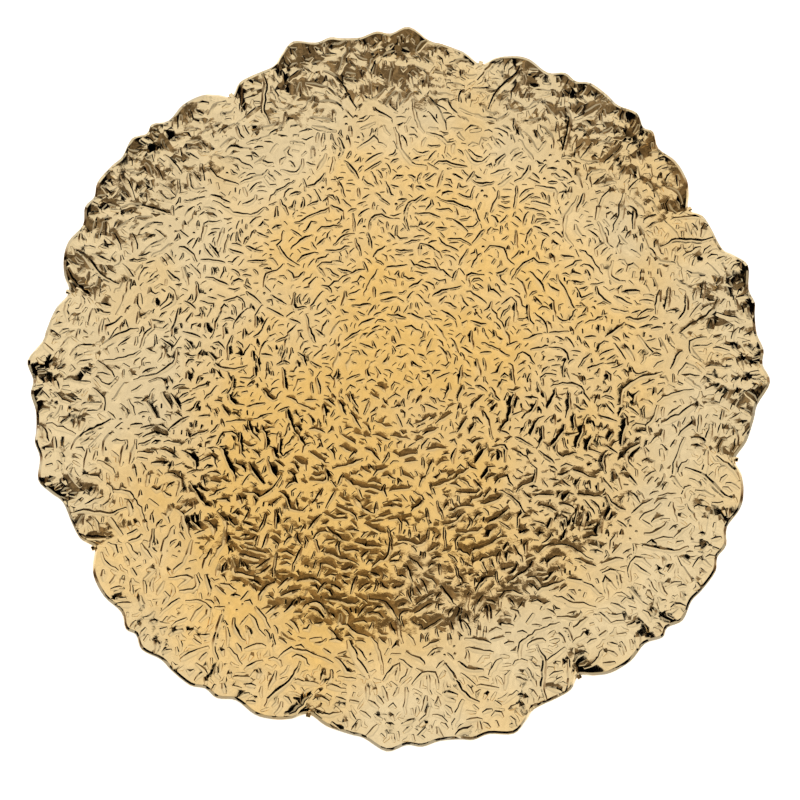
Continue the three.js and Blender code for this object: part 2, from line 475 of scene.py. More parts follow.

# %% [markdown]
# ## The creases
#
# The pressed pattern repeats eight times round the tray, once for every gap between two notches.
# Each crease is a short bent stroke, and the list below places the main ones of one eighth,
# in millimetres: y runs outwards along the middle of the eighth and x to the right of it. Most are
# fine cuts, which widen to flat channels on the wall, some are bolder or wider, and a few are only
# round pits.

# %% Main creases of one eighth
FINE_CREASES = [
    # Middle of the dish
    [(0.5, 9.3), (2, 8.8), (4.5, 9)], [(-2.8, 11), (-3.2, 10)],
    [(0.8, 13.5), (2, 13.9), (5, 13.9)], [(-4.2, 15.2), (-2.8, 15.8)],
    [(1.6, 23.2), (2.2, 20.5), (3.2, 17.2)], [(-11.5, 20), (-9.5, 21.3), (-7, 22.2), (-4, 22.6)],
    [(-3.2, 23.8), (-1.8, 21.5), (-2.6, 20)], [(-7.5, 20.8), (-6.8, 18.8)],
    [(-14.4, 25.7), (-12.8, 26.7), (-10, 27.2), (-7.2, 28.2)], [(-7, 29.5), (-4, 30.5)],
    [(-1.2, 29.3), (0.5, 28.8), (3, 28), (7, 26.5)], [(-3.3, 31.2), (-0.2, 32.6)],
    [(-16.5, 35.6), (-13, 35), (-8, 35)], [(-3.2, 36.2), (0, 36.4), (4.6, 36.6)],
    [(4.8, 36), (7, 34.2)], [(10.5, 33), (9.8, 30.5)], [(12.8, 33), (13.4, 29.5)],
    [(-5.4, 43), (-5.7, 38.2)], [(-6.2, 46.6), (-8, 43.8), (-10.2, 39.5)],
    [(-6.2, 46.6), (-3.5, 49), (-2.6, 51)], [(-2.2, 46), (-1.6, 44)],
    [(-0.3, 47.4), (2, 45.8), (4.6, 44.8), (4.4, 42)], [(-15, 46.2), (-12.3, 46.6), (-12.3, 44.8)],
    [(-12.3, 46.6), (-10.8, 48.3), (-9.3, 47.6)], [(-20.5, 48.3), (-17, 50), (-14, 51.2), (-8, 51.5)],
    [(0.8, 50.3), (2, 51.4), (6, 51.2), (11, 51.3)], [(14, 50.8), (17, 49.5), (20, 48.3)],
    [(8.8, 48), (8, 46.2), (10.5, 44.8), (13.5, 44.2)], [(8, 43.8), (7.6, 42)],
    [(10.6, 40.5), (13, 41.4), (15, 42), (17, 43.5)], [(12.7, 53.5), (13.6, 50.8), (12.6, 48)],
    [(0.2, 53), (-3.2, 56.8), (-1, 59.2), (2.5, 61.5)],
    [(-7.4, 50.5), (-8.7, 55.5)], [(-9.4, 58.5), (-9.8, 61), (-10.8, 67)],
    [(-10.8, 70.5), (-10.8, 73), (-10.3, 79)],
    # Outer floor, left
    [(-20.5, 53.8), (-18.5, 52.3), (-15, 51.3)], [(-14, 57.5), (-12.5, 56)],
    [(-25, 63.2), (-22.5, 62.4), (-18, 62.5), (-14, 63.5)],
    [(-21, 65.2), (-18, 67.3), (-15, 69), (-11, 69.3)], [(-28.5, 66.3), (-26.5, 67.3), (-24.5, 69)],
    [(-20.5, 69.5), (-19.7, 69)], [(-27.5, 72.8), (-25, 74), (-20, 74.2), (-16, 73.5)],
    [(-34, 73.5), (-31, 75), (-29.5, 77.3), (-27.5, 77)],
    [(-37.5, 78.3), (-33, 79), (-29.5, 81), (-24.5, 82), (-21.5, 82.8), (-21.3, 81.2)],
    [(-20, 84.5), (-17.5, 82.5), (-15, 80.5), (-15.3, 77), (-18, 75)],
    [(-16.3, 98), (-15, 95.5), (-14.2, 92), (-13, 87.5)], [(-14.2, 86.5), (-13.2, 84), (-11, 82.6)],
    [(-6.2, 91), (-6.5, 86.2)], [(-26.5, 93), (-25.3, 89.8), (-24.5, 87.5), (-28, 86), (-30.3, 85.7)],
    [(-4.7, 69), (-4.5, 66), (-4.2, 61)], [(0, 83), (-1, 80)],
    [(-3.8, 70.5), (-3.2, 74), (0, 76.3), (2, 76.8), (4.5, 75.5), (6, 74.2), (10.3, 73.7)],
    # Outer floor, right
    [(-2.5, 66.8), (-2, 65.8)], [(9, 70.5), (8.5, 68), (7.6, 65.7), (9.5, 64), (13, 63.9)],
    [(16, 63.8), (20.5, 63.9)], [(15, 69.3), (18, 68.8), (21, 66.8), (23.8, 64.2)],
    [(14, 67.5), (13.3, 72.5), (14, 77), (15.8, 80.8), (19, 81.3), (22.8, 83.5)],
    [(18, 75.3), (24, 74.2), (29, 71.8)], [(20.3, 78.2), (23, 78)],
    [(6.8, 59.2), (9, 57.8), (12, 58.2), (14.5, 57.8)], [(18.5, 60.5), (17.8, 58), (17.2, 55.3)],
    [(18.5, 60.5), (21, 60), (23.5, 57), (25, 54.5)], [(30, 86.5), (32, 90.5), (33.7, 94)],
    [(25, 90.5), (28, 91.5), (30, 93.2)], [(17, 89), (18.5, 87.5), (18.8, 89.5)],
    [(1.3, 87.5), (4, 84.5), (6.8, 81.2)], [(6.5, 92.5), (7.5, 87.5), (9.3, 85.2)],
    [(12.8, 87), (13, 84.8)], [(3, 79.5), (4.5, 77)], [(0.7, 98), (1.5, 95), (2.8, 91.5)],
    [(10.3, 93), (12, 93.7), (15, 94.2)], [(17.5, 94), (20, 92.5), (20, 90.5)], [(3.5, 63.8), (5, 64)],
    # Wall, left
    [(-47, 125.8), (-44, 125.3), (-40, 126.3), (-39.5, 127.3)],
    [(-37.8, 133.2), (-36, 132.2), (-33, 132.8), (-32, 134)],
    [(-34.8, 131.8), (-35.5, 128), (-36.5, 125.5), (-39.5, 123.8), (-44, 121.5), (-49, 120)],
    [(-49, 120), (-54.5, 118.8)], [(-34.5, 117.3), (-31.5, 116.2), (-28.5, 115.6)],
    [(-35.5, 115.2), (-37.3, 113.8), (-36.8, 111.5), (-34.8, 110.3)], [(-34, 113.3), (-31.5, 112.5)],
    [(-21.3, 120), (-22.5, 116)], [(-18.7, 119.5), (-19.3, 117), (-20, 113.8)],
    [(-24, 127.5), (-20, 126.6), (-14.5, 124.3), (-12.8, 124.3)],
    [(-23.5, 123.5), (-20.5, 122.5), (-17, 120.8), (-13, 120)],
    [(-19, 109.5), (-21.5, 105.5), (-23.8, 102.5)], [(-15.8, 107.5), (-16.5, 103.5), (-18, 100.3)],
    [(-30, 108.5), (-30.2, 106), (-32, 103.5), (-34.5, 102), (-40.5, 104.5)],
    [(-30, 110.3), (-28, 111.8)], [(-40.5, 107.5), (-39.5, 109), (-38, 110.3)],
    [(-31, 98.8), (-30.5, 96), (-30.8, 92.8)], [(-38, 91.8), (-33, 92.5)],
    [(-29.5, 95), (-26, 95.2), (-23, 97.5), (-20.6, 100.3)], [(-39.5, 99.3), (-37.5, 99.5)],
    [(-27, 103), (-26.5, 101)],
    # Wall, middle
    [(-11, 105), (-9, 102), (-7, 98.5), (-5.6, 95.5)], [(-12.9, 130), (-13, 125)],
    [(-14, 140.1), (-11.5, 137), (-8.9, 134.6)], [(-2.3, 128.3), (0.8, 130.8)],
    [(1.9, 139.6), (1.6, 135.1), (2.8, 132.8), (5.3, 132.3), (7.5, 132.6), (12.3, 136.3)],
    [(5.1, 141.5), (5.3, 137), (5.2, 133)], [(8, 131.5), (9.8, 130)],
    [(-1.5, 119.5), (2, 120.5), (5.5, 121.5)], [(9.2, 119.5), (10, 117), (11.5, 115)],
    [(-4, 110.3), (-1, 112), (2.5, 113.5), (4, 114.5), (6, 112), (9, 109.5)],
    [(-1, 103), (3, 104.8), (7, 106.3)], [(-2, 98.8), (2, 100.7), (6, 102.5)], [(3.5, 98.5), (5.3, 94.5)],
    [(14.3, 118), (15.2, 115), (15.4, 110), (16.3, 105.5), (18.5, 101.5), (21, 99), (26, 97.5)],
    [(10.5, 101.2), (14, 102.5)], [(13, 97.8), (14.8, 99)],
    [(17.3, 134.6), (14.3, 132.2), (12.6, 128.8), (16.5, 125)],
    [(18.8, 133.5), (18, 130), (17.5, 127.3), (21, 129.5), (24.5, 133)],
    [(20.5, 119.8), (22.2, 122)], [(19.5, 115.5), (19.5, 118)], [(21.3, 112), (21.3, 110.3)],
    [(21.5, 106.3), (25, 103.5), (28.5, 104.3)], [(24.5, 130), (24.5, 124), (25.5, 119), (27.5, 114)],
    # Wall, right
    [(28, 124), (29.8, 124.5)], [(30.5, 115.8), (34, 114.8)], [(32.5, 139.8), (31.7, 133.7)],
    [(36.5, 130.8), (40, 130), (43.5, 128.8)], [(42.5, 126.5), (43.8, 127)],
    [(40.5, 114), (43, 113), (45.5, 112.8)], [(42.5, 112.5), (44, 110), (45.5, 107.8)],
    [(29, 113.5), (33, 111.5), (36, 109.5), (37.5, 107.5), (41.5, 107.5)],
    [(37.5, 107), (36, 102.5), (38, 100.2)], [(40.2, 107), (39.5, 102)],
    [(25.8, 107.5), (26.5, 109.5), (28, 111)], [(26.5, 97.3), (26.3, 95.5)],
    [(30.3, 97.5), (32.5, 98.3), (36, 97.8), (40, 96), (45, 94.5)],
    [(37, 134.3), (38, 133.5)], [(41, 133), (42, 132.3)],
    # Rim, left
    [(-39.9, 144), (-38.7, 140), (-37.4, 136.3)], [(-39.5, 148.5), (-36.9, 145.2)],
    [(-26.5, 143.8), (-27.5, 140.5), (-28.3, 138), (-30, 136.4)], [(-30.2, 151), (-27, 152.4)],
    [(-23.7, 150.2), (-21.5, 148.2)], [(-23.8, 143), (-20, 142), (-15, 140.8)],
    [(-20.1, 138.7), (-16.5, 137.4)], [(-48.5, 137.6), (-46.5, 137.2)], [(-51.9, 135.8), (-50.5, 135.3)],
    # Rim, middle
    [(-13.8, 150.5), (-12.2, 148.7)], [(-14.7, 155), (-8.5, 154.5)], [(-12.9, 160), (-13.4, 155.2)],
    [(-17.5, 158.7), (-15.2, 156.5)], [(0.3, 154), (1.8, 151.8), (5.5, 150.4)],
    [(0.3, 156.5), (2.5, 154.2)], [(1.9, 146.5), (2.2, 144), (3.5, 145.8)],
    [(9.8, 148), (8.9, 145.5), (7.3, 142)], [(14.1, 148.7), (14.1, 146.5)],
    [(16.9, 148), (17, 145.5), (16, 141), (15.3, 137.3)], [(21, 145), (22, 143.5), (23.5, 144.5)],
    [(24, 141.5), (24.8, 138), (25.3, 135.5)], [(15, 160), (15.3, 157.4)], [(7.1, 157.4), (7.3, 154.6)],
    # Rim, right
    [(28.3, 144.2), (30, 142), (32, 140.7)], [(38.3, 137.8), (37.6, 136.5)], [(41.2, 136.2), (42.8, 136)],
    [(41.9, 139.2), (45.5, 137.4)], [(47.8, 136.9), (49.6, 135.5)],
    [(49.3, 140), (49.6, 138.3), (52, 136.8), (55.3, 137.2)],
    [(44, 144), (49.5, 144.5), (52.5, 143.7), (54.7, 142.2)],
    [(40.5, 151.9), (37.4, 148.3)], [(38.7, 151.9), (36.7, 148.3)], [(38.7, 147.8), (40.3, 144.2)],
    [(32.4, 147.8), (36, 144.6)], [(27.6, 156.5), (28.5, 155.3)], [(21.5, 158.5), (21.4, 155.3)],
    [(23.3, 159), (23.4, 156)],
]

BOLD_CREASES = [
    [(2, 70.5), (2.2, 68.3)], [(20.5, 88), (24, 86)], [(-51.2, 116.2), (-47.8, 116.4)],
    [(-43.2, 150.5), (-42.6, 147), (-43, 143), (-44.5, 138.5), (-45.2, 134), (-44.5, 131), (-43.3, 127)],
    [(-33.3, 124.4), (-29.8, 124.6)], [(-32.7, 120.2), (-30.8, 120)],
    [(-24.5, 114), (-25, 110), (-25, 106.8)], [(-18.5, 134.3), (-15, 134), (-11, 132.3), (-8.7, 129.5)],
    [(-12.3, 116.5), (-11.3, 113), (-11.6, 109.5), (-13, 106.3)], [(-6.2, 121.3), (-6.3, 116.8)],
    [(-14.6, 147.6), (-11, 145.4), (-8, 141.5), (-6.1, 137), (-4.3, 132.4), (-2.6, 129.6)],
    [(6.3, 128.3), (8, 126), (11, 124), (13.2, 122.3)], [(20.2, 124.3), (21.2, 125.7)],
    [(36.5, 127.5), (39.7, 127.3), (41.5, 123.5), (44, 120.5)],
    [(48.5, 131), (46.8, 128.5), (46.3, 125.5)], [(51, 129), (49.3, 125)],
    [(-52.4, 148.3), (-54.4, 144.6), (-55.3, 140.5), (-55.6, 134.8)], [(-38.7, 152), (-35.8, 153.8)],
    [(-21.1, 158.7), (-20.6, 156.5)], [(36.5, 140.8), (39.8, 139.6)],
    [(42.6, 150), (43, 146.3)], [(45.5, 151), (48.7, 147.6)],
]

WIDE_CREASES = [
    [(-22.5, 57.2), (-18.3, 56)], [(-55, 130), (-51, 132.5), (-46.5, 134.8)],
    [(-44, 113.5), (-40.8, 116.8)], [(-27, 131), (-24, 133), (-21.2, 137)],
    [(31, 131), (33, 126.5), (35.5, 122.5), (37.5, 114)], [(-31.5, 145.5), (-28, 147.5), (-25, 149.3)],
    [(-2.5, 157), (-5, 151), (-8, 146)], [(41.5, 134.6), (45, 133.7), (48.7, 132.4)],
    [(29.6, 151.5), (34.2, 155.1)],
]

PITS = [
    [(-19.3, 92.5)], [(-22.5, 93.5)], [(-6, 72.1)], [(10, 81)], [(-20, 92.3)], [(-7.4, 126)],
    [(-3, 125.7)], [(-7.8, 122.6)], [(-3, 115.6)], [(28.7, 121.3)], [(29.8, 92.8)], [(12.8, 154.2)],
    [(11.2, 142.8)], [(-18.4, 147.4)],
]

print("main creases of an eighth:", len(FINE_CREASES), "fine,", len(BOLD_CREASES), "bold,",
      len(WIDE_CREASES), "wide,", len(PITS), "pits")

# %% [markdown]
# ## Smooth strokes and grown creases
#
# A stroke becomes a row of stations with a smooth curve through its points, each with a half width
# and a depth that taper to the ends. Smaller creases then fill the bare places. They could be drawn
# one by one too, but they follow a rule: they run along the rings of the tray, swayed by a slow noise,
# so neighbours lie side by side, and each grows until it comes near another. On the rim they turn
# outwards and sink towards the lip.

# %% Strokes with widths and depths
EIGHTH = math.radians(45)
STATION_STEP = 1.9
END_SHARE = 0.6
WANDER = 0.22
WIDTH_CHANGE = 0.28
RIM_TAPER = (0.2, 1.25)
STROKE_SEED = 11
CHANNEL_RADIUS = 104.0
CREASE_KINDS = {
    # Half width, depth, and the flat bottom as a share of the width
    "fine": (0.95, 0.48, 0.2), "bold": (1.2, 0.6, 0.25), "channel": (1.1, 0.52, 0.4),
    "wide": (1.5, 0.48, 0.55), "flute": (1.3, 0.85, 0.4), "rim": (1.05, 0.6, 0.6),
    "pit": (0.78, 0.38, 0), "grown": (0.94, 0.46, 0.2), "nick": (0.7, 0.35, 0),
}


def turned(points, angle):
    """Points turned about the middle of the tray."""
    cosine, sine = math.cos(angle), math.sin(angle)
    return points @ np.array(((cosine, sine), (-sine, cosine)))


wobble = random.Random(STROKE_SEED)


def stroke(points, kind, size=1.0):
    """Stations along a crease: their places, half widths and depths, and the kind of crease."""
    if kind == "fine" and np.linalg.norm(np.mean(points, axis=0)) > CHANNEL_RADIUS:
        kind = "channel"
    ends = [points[0], *points, points[-1]]
    places = []
    for index in range(1, len(points)):
        steps = max(1, round(np.linalg.norm(points[index] - points[index - 1]) / STATION_STEP))
        for step in range(steps):
            places.append(curve_point(*ends[index - 1:index + 3], step / steps))
    places.append(points[-1])
    half_width, depth, _ = CREASE_KINDS[kind]
    share = np.ones(len(places))
    if len(places) > 1:
        share = END_SHARE + (1 - END_SHARE) * np.sin(np.linspace(0, math.pi, len(places)))
    for index in range(1, len(places) - 1):
        places[index] = places[index] + (wobble.gauss(0, WANDER), wobble.gauss(0, WANDER))
        share[index] *= 1 + wobble.uniform(-WIDTH_CHANGE, WIDTH_CHANGE)
    sink = np.linspace(*RIM_TAPER, len(places)) if kind == "rim" else 1
    return np.array(places), size * half_width * share, size * depth * share * sink, kind


MAIN_CREASES = (("fine", FINE_CREASES), ("bold", BOLD_CREASES), ("wide", WIDE_CREASES), ("pit", PITS))
strokes = []
for eighth in (0, 1):
    turn = (eighth + 0.5) * EIGHTH - math.pi / 2
    for kind, creases in MAIN_CREASES:
        strokes += [stroke(turned(np.array(points, float), turn), kind) for points in creases]
print("main creases of a quarter:", len(strokes))

# %% Grown creases in the bare places
FILL_SEED = 7
FILL_TRIES = 5000
FILLS = (
    # Kind, radii, lengths, clearance, fewest stations
    ("flute", (140, 158), (5, 12), 2.3, 3),
    ("rim", (132, 164), (3, 8), 1.3, 3),
    ("grown", (4, 148), (4, 12), 1.55, 3),
    ("nick", (2, 118), (1.5, 4), 1.65, 2),
)
LIP_CLEARANCE = 1.7
SIZE_SPREAD = (0.75, 1.1)
FLOW_SPACING = 13.0
FLOW_SWING = math.radians(200)
OUTWARD_SPAN = (132.0, 146.0)
HOOK_TURN = math.radians(60)
HOOK_LENGTH = 4.0


def flow(place):
    """Heading of the creases at a place: along the ring, outwards near the lip, swayed by noise."""
    sway = FLOW_SWING * smooth_noise.noise(Vector((*place, 0)) / FLOW_SPACING)
    outwards = np.interp(np.linalg.norm(place), OUTWARD_SPAN, (0, 1))
    return math.atan2(place[1], place[0]) + (1 - outwards) * math.pi / 2 + sway


def is_bare(place, clearance):
    """Whether a place is clear of the lip and of every other crease."""
    lip_radius, _ = lip_at(math.atan2(place[1], place[0]))
    inside = np.linalg.norm(place) < lip_radius - LIP_CLEARANCE
    return inside and np.linalg.norm(taken - place, axis=1).min() > clearance


def grown_crease(draw, radii, lengths, clearance):
    """A crease grown along the flow from a random spot, as far as it keeps clear of the others."""
    radius = math.sqrt(draw.uniform(radii[0] ** 2, radii[1] ** 2))
    angle = draw.uniform(0, QUARTER)
    length = draw.uniform(*lengths)
    hook = draw.choice((-HOOK_TURN, 0, HOOK_TURN)) if length > HOOK_LENGTH else 0
    place = radius * np.array((math.cos(angle), math.sin(angle)))
    places = []
    while is_bare(place, clearance):
        places.append(place)
        left = length - len(places) * STATION_STEP
        if left < 0:
            break
        heading = flow(place) + (hook if left < STATION_STEP else 0)
        place = place + STATION_STEP * np.array((math.cos(heading), math.sin(heading)))
    return np.array(places)


def around(places):
    """Places in this quarter and the same places in its two neighbours."""
    return np.concatenate([turned(places, turn * QUARTER) for turn in (-1, 0, 1)])


draw = random.Random(FILL_SEED)
taken = around(np.concatenate([places for places, *_ in strokes]))
for kind, radii, lengths, clearance, fewest in FILLS:
    before = len(strokes)
    for _ in range(FILL_TRIES):
        places = grown_crease(draw, radii, lengths, clearance)
        if len(places) >= fewest:
            strokes.append(stroke(places, kind, draw.uniform(*SIZE_SPREAD)))
            taken = np.concatenate((taken, around(places)))
    print("grown as", kind, "creases:", len(strokes) - before)

# %% [markdown]
# ## Cutting the grooves into one quarter
#
# A regular grid fine enough for grooves a millimetre wide would need millions of faces. A constrained
# triangulation needs far fewer: the shoulders and the bottom of every groove go in as edges that the
# triangles have to follow, and the smooth places between get a loose scatter of points. The bottom of
# a groove is flat over a share of its width, or else a single line.

# %% Rails along the grooves
ROUND_ENDS = ("channel", "wide", "bold", "flute", "rim")
ROUND_TURNS = (-50, 50)
POINTED_TURNS = (0,)
PIT_SIDES = 6
SHARPEST_MITRE = 0.6


def side_directions(places):
    """At each station of a stroke, the direction of its left side, long enough to mitre a bend."""
    runs = np.diff(places, axis=0)
    runs = runs / np.linalg.norm(runs, axis=1)[:, None]
    sides = np.stack((-runs[:, 1], runs[:, 0]), axis=1)
    before = np.concatenate((sides[:1], sides))
    after = np.concatenate((sides, sides[-1:]))
    middle = before + after
    middle = middle / np.linalg.norm(middle, axis=1)[:, None]
    mitre = np.maximum((middle * after).sum(axis=1), SHARPEST_MITRE)
    return middle / mitre[:, None]


def rail_loop(places, reach, kind):
    """A closed line round a stroke, at a reach from each of its stations."""
    if len(places) == 1:
        turns = np.arange(PIT_SIDES) * 2 * math.pi / PIT_SIDES
        return places[0] + from_polar(reach[0], turns)
    sides = side_directions(places) * reach[:, None]
    left, right = places + sides, places - sides
    turns = ROUND_TURNS if kind in ROUND_ENDS else POINTED_TURNS
    caps = []
    for end, inner, size in ((places[-1], places[-2], reach[-1]), (places[0], places[1], reach[0])):
        ahead = (end - inner) / np.linalg.norm(end - inner) * size
        caps.append(np.array([end + turned(ahead, math.radians(turn)) for turn in turns]))
    return np.concatenate((right, caps[0], left[::-1], caps[1]))


# %% Strokes that touch one quarter
SIDE_MARGIN = 5.0


def quarter_strokes():
    """The strokes of the quarter and of its neighbours that reach into it."""
    kept = []
    for turn in (-1, 0, 1):
        for places, half_widths, depths, kind in strokes:
            moved = turned(places, turn * QUARTER)
            if (moved.min(axis=1) > -SIDE_MARGIN).any():
                kept.append((moved, half_widths, depths, kind))
    return kept


quarter = quarter_strokes()
print("strokes that touch the quarter:", len(quarter))

# %% Outline and loose points of one quarter
LATTICE = 2.3
LATTICE_ROW = LATTICE * math.sqrt(0.75)
SIDE_STEP = 2.0
CLEAR_OF_GROOVE = 0.5
CLEAR_OF_EDGE = 1.2


def quarter_outline():
    """The closed edge of the quarter: one radial side, the lip and the other radial side."""
    reach = RIM_RADII - LIP_ROUND
    arc = from_polar(reach, RIM_ANGLES)
    arc[0, 1] = 0
    arc[-1, 0] = 0
    marks = np.linspace(0, reach[0], round(reach[0] / SIDE_STEP) + 1)[1:-1]
    first = np.stack((marks, np.zeros_like(marks)), axis=1)
    last = np.stack((np.zeros_like(marks), marks), axis=1)[::-1]
    return np.concatenate((np.zeros((1, 2)), first, arc, last))


def lattice_points():
    """Loose points over the quarter, clear of its edge and of every groove."""
    rows = np.arange(0, RIM_RADIUS + LATTICE, LATTICE_ROW)
    columns = np.arange(0, RIM_RADIUS + LATTICE, LATTICE)
    grid = np.array([(x + (row % 2) * LATTICE / 2, y) for row, y in enumerate(rows) for x in columns])
    radius, angle = to_polar(grid)
    lip_radius, _ = lip_at(angle)
    inside = (grid.min(axis=1) > CLEAR_OF_EDGE) & (radius < lip_radius - LIP_ROUND - CLEAR_OF_EDGE)
    grid = grid[inside]
    for places, half_widths, *_ in quarter:
        gaps = np.linalg.norm(grid[:, None, :] - places[None, :, :], axis=2)
        grid = grid[(gaps > half_widths + CLEAR_OF_GROOVE).all(axis=1)]
    return grid


outline = quarter_outline()
scatter = lattice_points()
print("outline:", len(outline), "points, loose points:", len(scatter))

# %% Triangulate one quarter
LIP_BAND = 0.95
CDT_EPSILON = 1e-5
points, edges = [], []


def add_line(line, closed):
    """A line of points joined by edges that the triangles have to follow."""
    start = len(points)
    points.extend(line)
    edges.extend((start + step, start + step + 1) for step in range(len(line) - 1))
    if closed:
        edges.append((start + len(line) - 1, start))


points.extend(outline)
add_line(from_polar(RIM_RADII - LIP_ROUND - LIP_BAND, RIM_ANGLES), False)
for places, half_widths, _, kind in quarter:
    _, _, bottom = CREASE_KINDS[kind]
    add_line(rail_loop(places, half_widths, kind), True)
    if bottom:
        add_line(rail_loop(places, bottom * half_widths, kind), True)
    else:
        add_line(places, False)
points.extend(scatter)
corners, _, triangles, _, _, owners = delaunay_2d_cdt(
    [Vector(point) for point in points], edges, [list(range(len(outline)))], 0, CDT_EPSILON, True)
flat = np.array([corner[:] for corner in corners])
triangles = [triangle for triangle, owner in zip(triangles, owners) if owner]
print("quarter:", len(points), "points in,", len(flat), "out,", len(triangles), "triangles")

# %% [markdown]
# ## Raising the quarter
#
# Every point of the flat quarter is now lifted to the height of the dish and sunk by the depth of
# the groove it lies in. The skin already sinks on the way to a groove, slowly on the side towards the
# middle of the tray and hardly on the other, so a low lopsided pillow is left between the creases.
# Where two strokes cross, the deeper one wins. The walls stay under about thirty degrees, because a
# steeper wall mirrors the pale floor and its line is lost. Close to the lip the skin rolls off.

# %% Depth of the creases
PILLOW_REACH = 2.8
PILLOW_OUTER = 0.1
PILLOW_INNER = 0.5
EVEN_SLOPES = {"flute": 0.5, "rim": 0.05}
PLAIN_LIP = 0.2
EDGE_FADE = 0.6
LIP_DROP = 0.6
TINY = 1e-6


def groove_depth(spots):
    """Depth of the deepest groove at each spot, in millimetres."""
    depth = np.zeros(len(spots))
    outwards = spots / np.maximum(np.linalg.norm(spots, axis=1), TINY)[:, None]
    for places, half_widths, depths, kind in quarter:
        _, _, bottom = CREASE_KINDS[kind]
        margin = PILLOW_REACH * half_widths.max()
        low, high = places.min(axis=0) - margin, places.max(axis=0) + margin
        near = np.flatnonzero(((spots > low) & (spots < high)).all(axis=1))
        for first in range(max(1, len(places) - 1)):
            last = min(first + 1, len(places) - 1)
            run = places[last] - places[first]
            from_first = spots[near] - places[first]
            share = np.clip(from_first @ run / max(run @ run, TINY), 0, 1)
            aside = from_first - share[:, None] * run
            gap = np.maximum(np.linalg.norm(aside, axis=1), TINY)
            half_width = half_widths[first] + share * (half_widths[last] - half_widths[first])
            full = depths[first] + share * (depths[last] - depths[first])
            inner = (1 - (aside * outwards[near]).sum(axis=1) / gap) / 2
            slope = EVEN_SLOPES.get(kind, PILLOW_OUTER + inner * (PILLOW_INNER - PILLOW_OUTER))
            pillow = np.clip((PILLOW_REACH - gap / half_width) / (PILLOW_REACH - 1), 0, 1)
            cut = slope * pillow + (1 - slope) * np.interp(gap / half_width, (bottom, 1), (1, 0))
            depth[near] = np.maximum(depth[near], full * cut)
    return depth


radius, angle = to_polar(flat)
depth = groove_depth(flat)
edge_gap = lip_at(angle)[0] - LIP_ROUND - radius
depth *= np.clip((edge_gap - PLAIN_LIP) / EDGE_FADE, 0, 1)
roll = np.interp(edge_gap, (0, LIP_BAND), (LIP_DROP, 0))
height = dish_height(radius, angle) - np.maximum(depth, roll)
print("deepest crease:", round(depth.max(), 2), "mm")

# %% Mesh of one quarter
quarter_mesh = bpy.data.meshes.new("quarter")
placed = np.column_stack((flat, height)) * MM
used, triangles = np.unique(np.array(triangles), return_inverse=True)
quarter_mesh.from_pydata(placed[used].tolist(), [], triangles.reshape(-1, 3).tolist())
# Depth share of the creases, which sets both their dullness and their painted shade.
crease = quarter_mesh.attributes.new("crease", "FLOAT", "POINT")
crease.data.foreach_set("value", (depth[used] / depth.max()).astype(np.float32))
quarter_mesh.validate()
print("quarter mesh:", len(quarter_mesh.vertices), "vertices")

# %% [markdown]
# ## Repeating round the tray
#
# The face, the gate stubs and the bumper pads all repeat four times round the middle. One Geometry
# Nodes tree does it for each: it sets copies on a point, turns each a step further, welds the seams
# and, for the face, lifts the plating in a slow swell, as thin mouldings are never quite flat. It sets
# the finish last, and the mesh has that finish from the start, so that no empty slot comes before it.

# %% Tree that repeats a piece round the middle
RIM_SWELL = (0.125, 0.15)
SWELL_DETAIL = 1.0
NOISE_MEAN = 0.5
TREE_INPUTS = (
    ("Copies", "NodeSocketInt", 4),
    ("First turn", "NodeSocketFloat", FIRST_NOTCH),
    ("Weld distance", "NodeSocketFloat", 0.00002),
    ("Swell height", "NodeSocketFloat", 0.0),
    ("Swell spacing", "NodeSocketFloat", 0.01),
    ("Swell seed", "NodeSocketFloat", 3.0),
    ("Rim gain", "NodeSocketFloat", 0.0),
    ("Finish", "NodeSocketMaterial", GOLD),
)


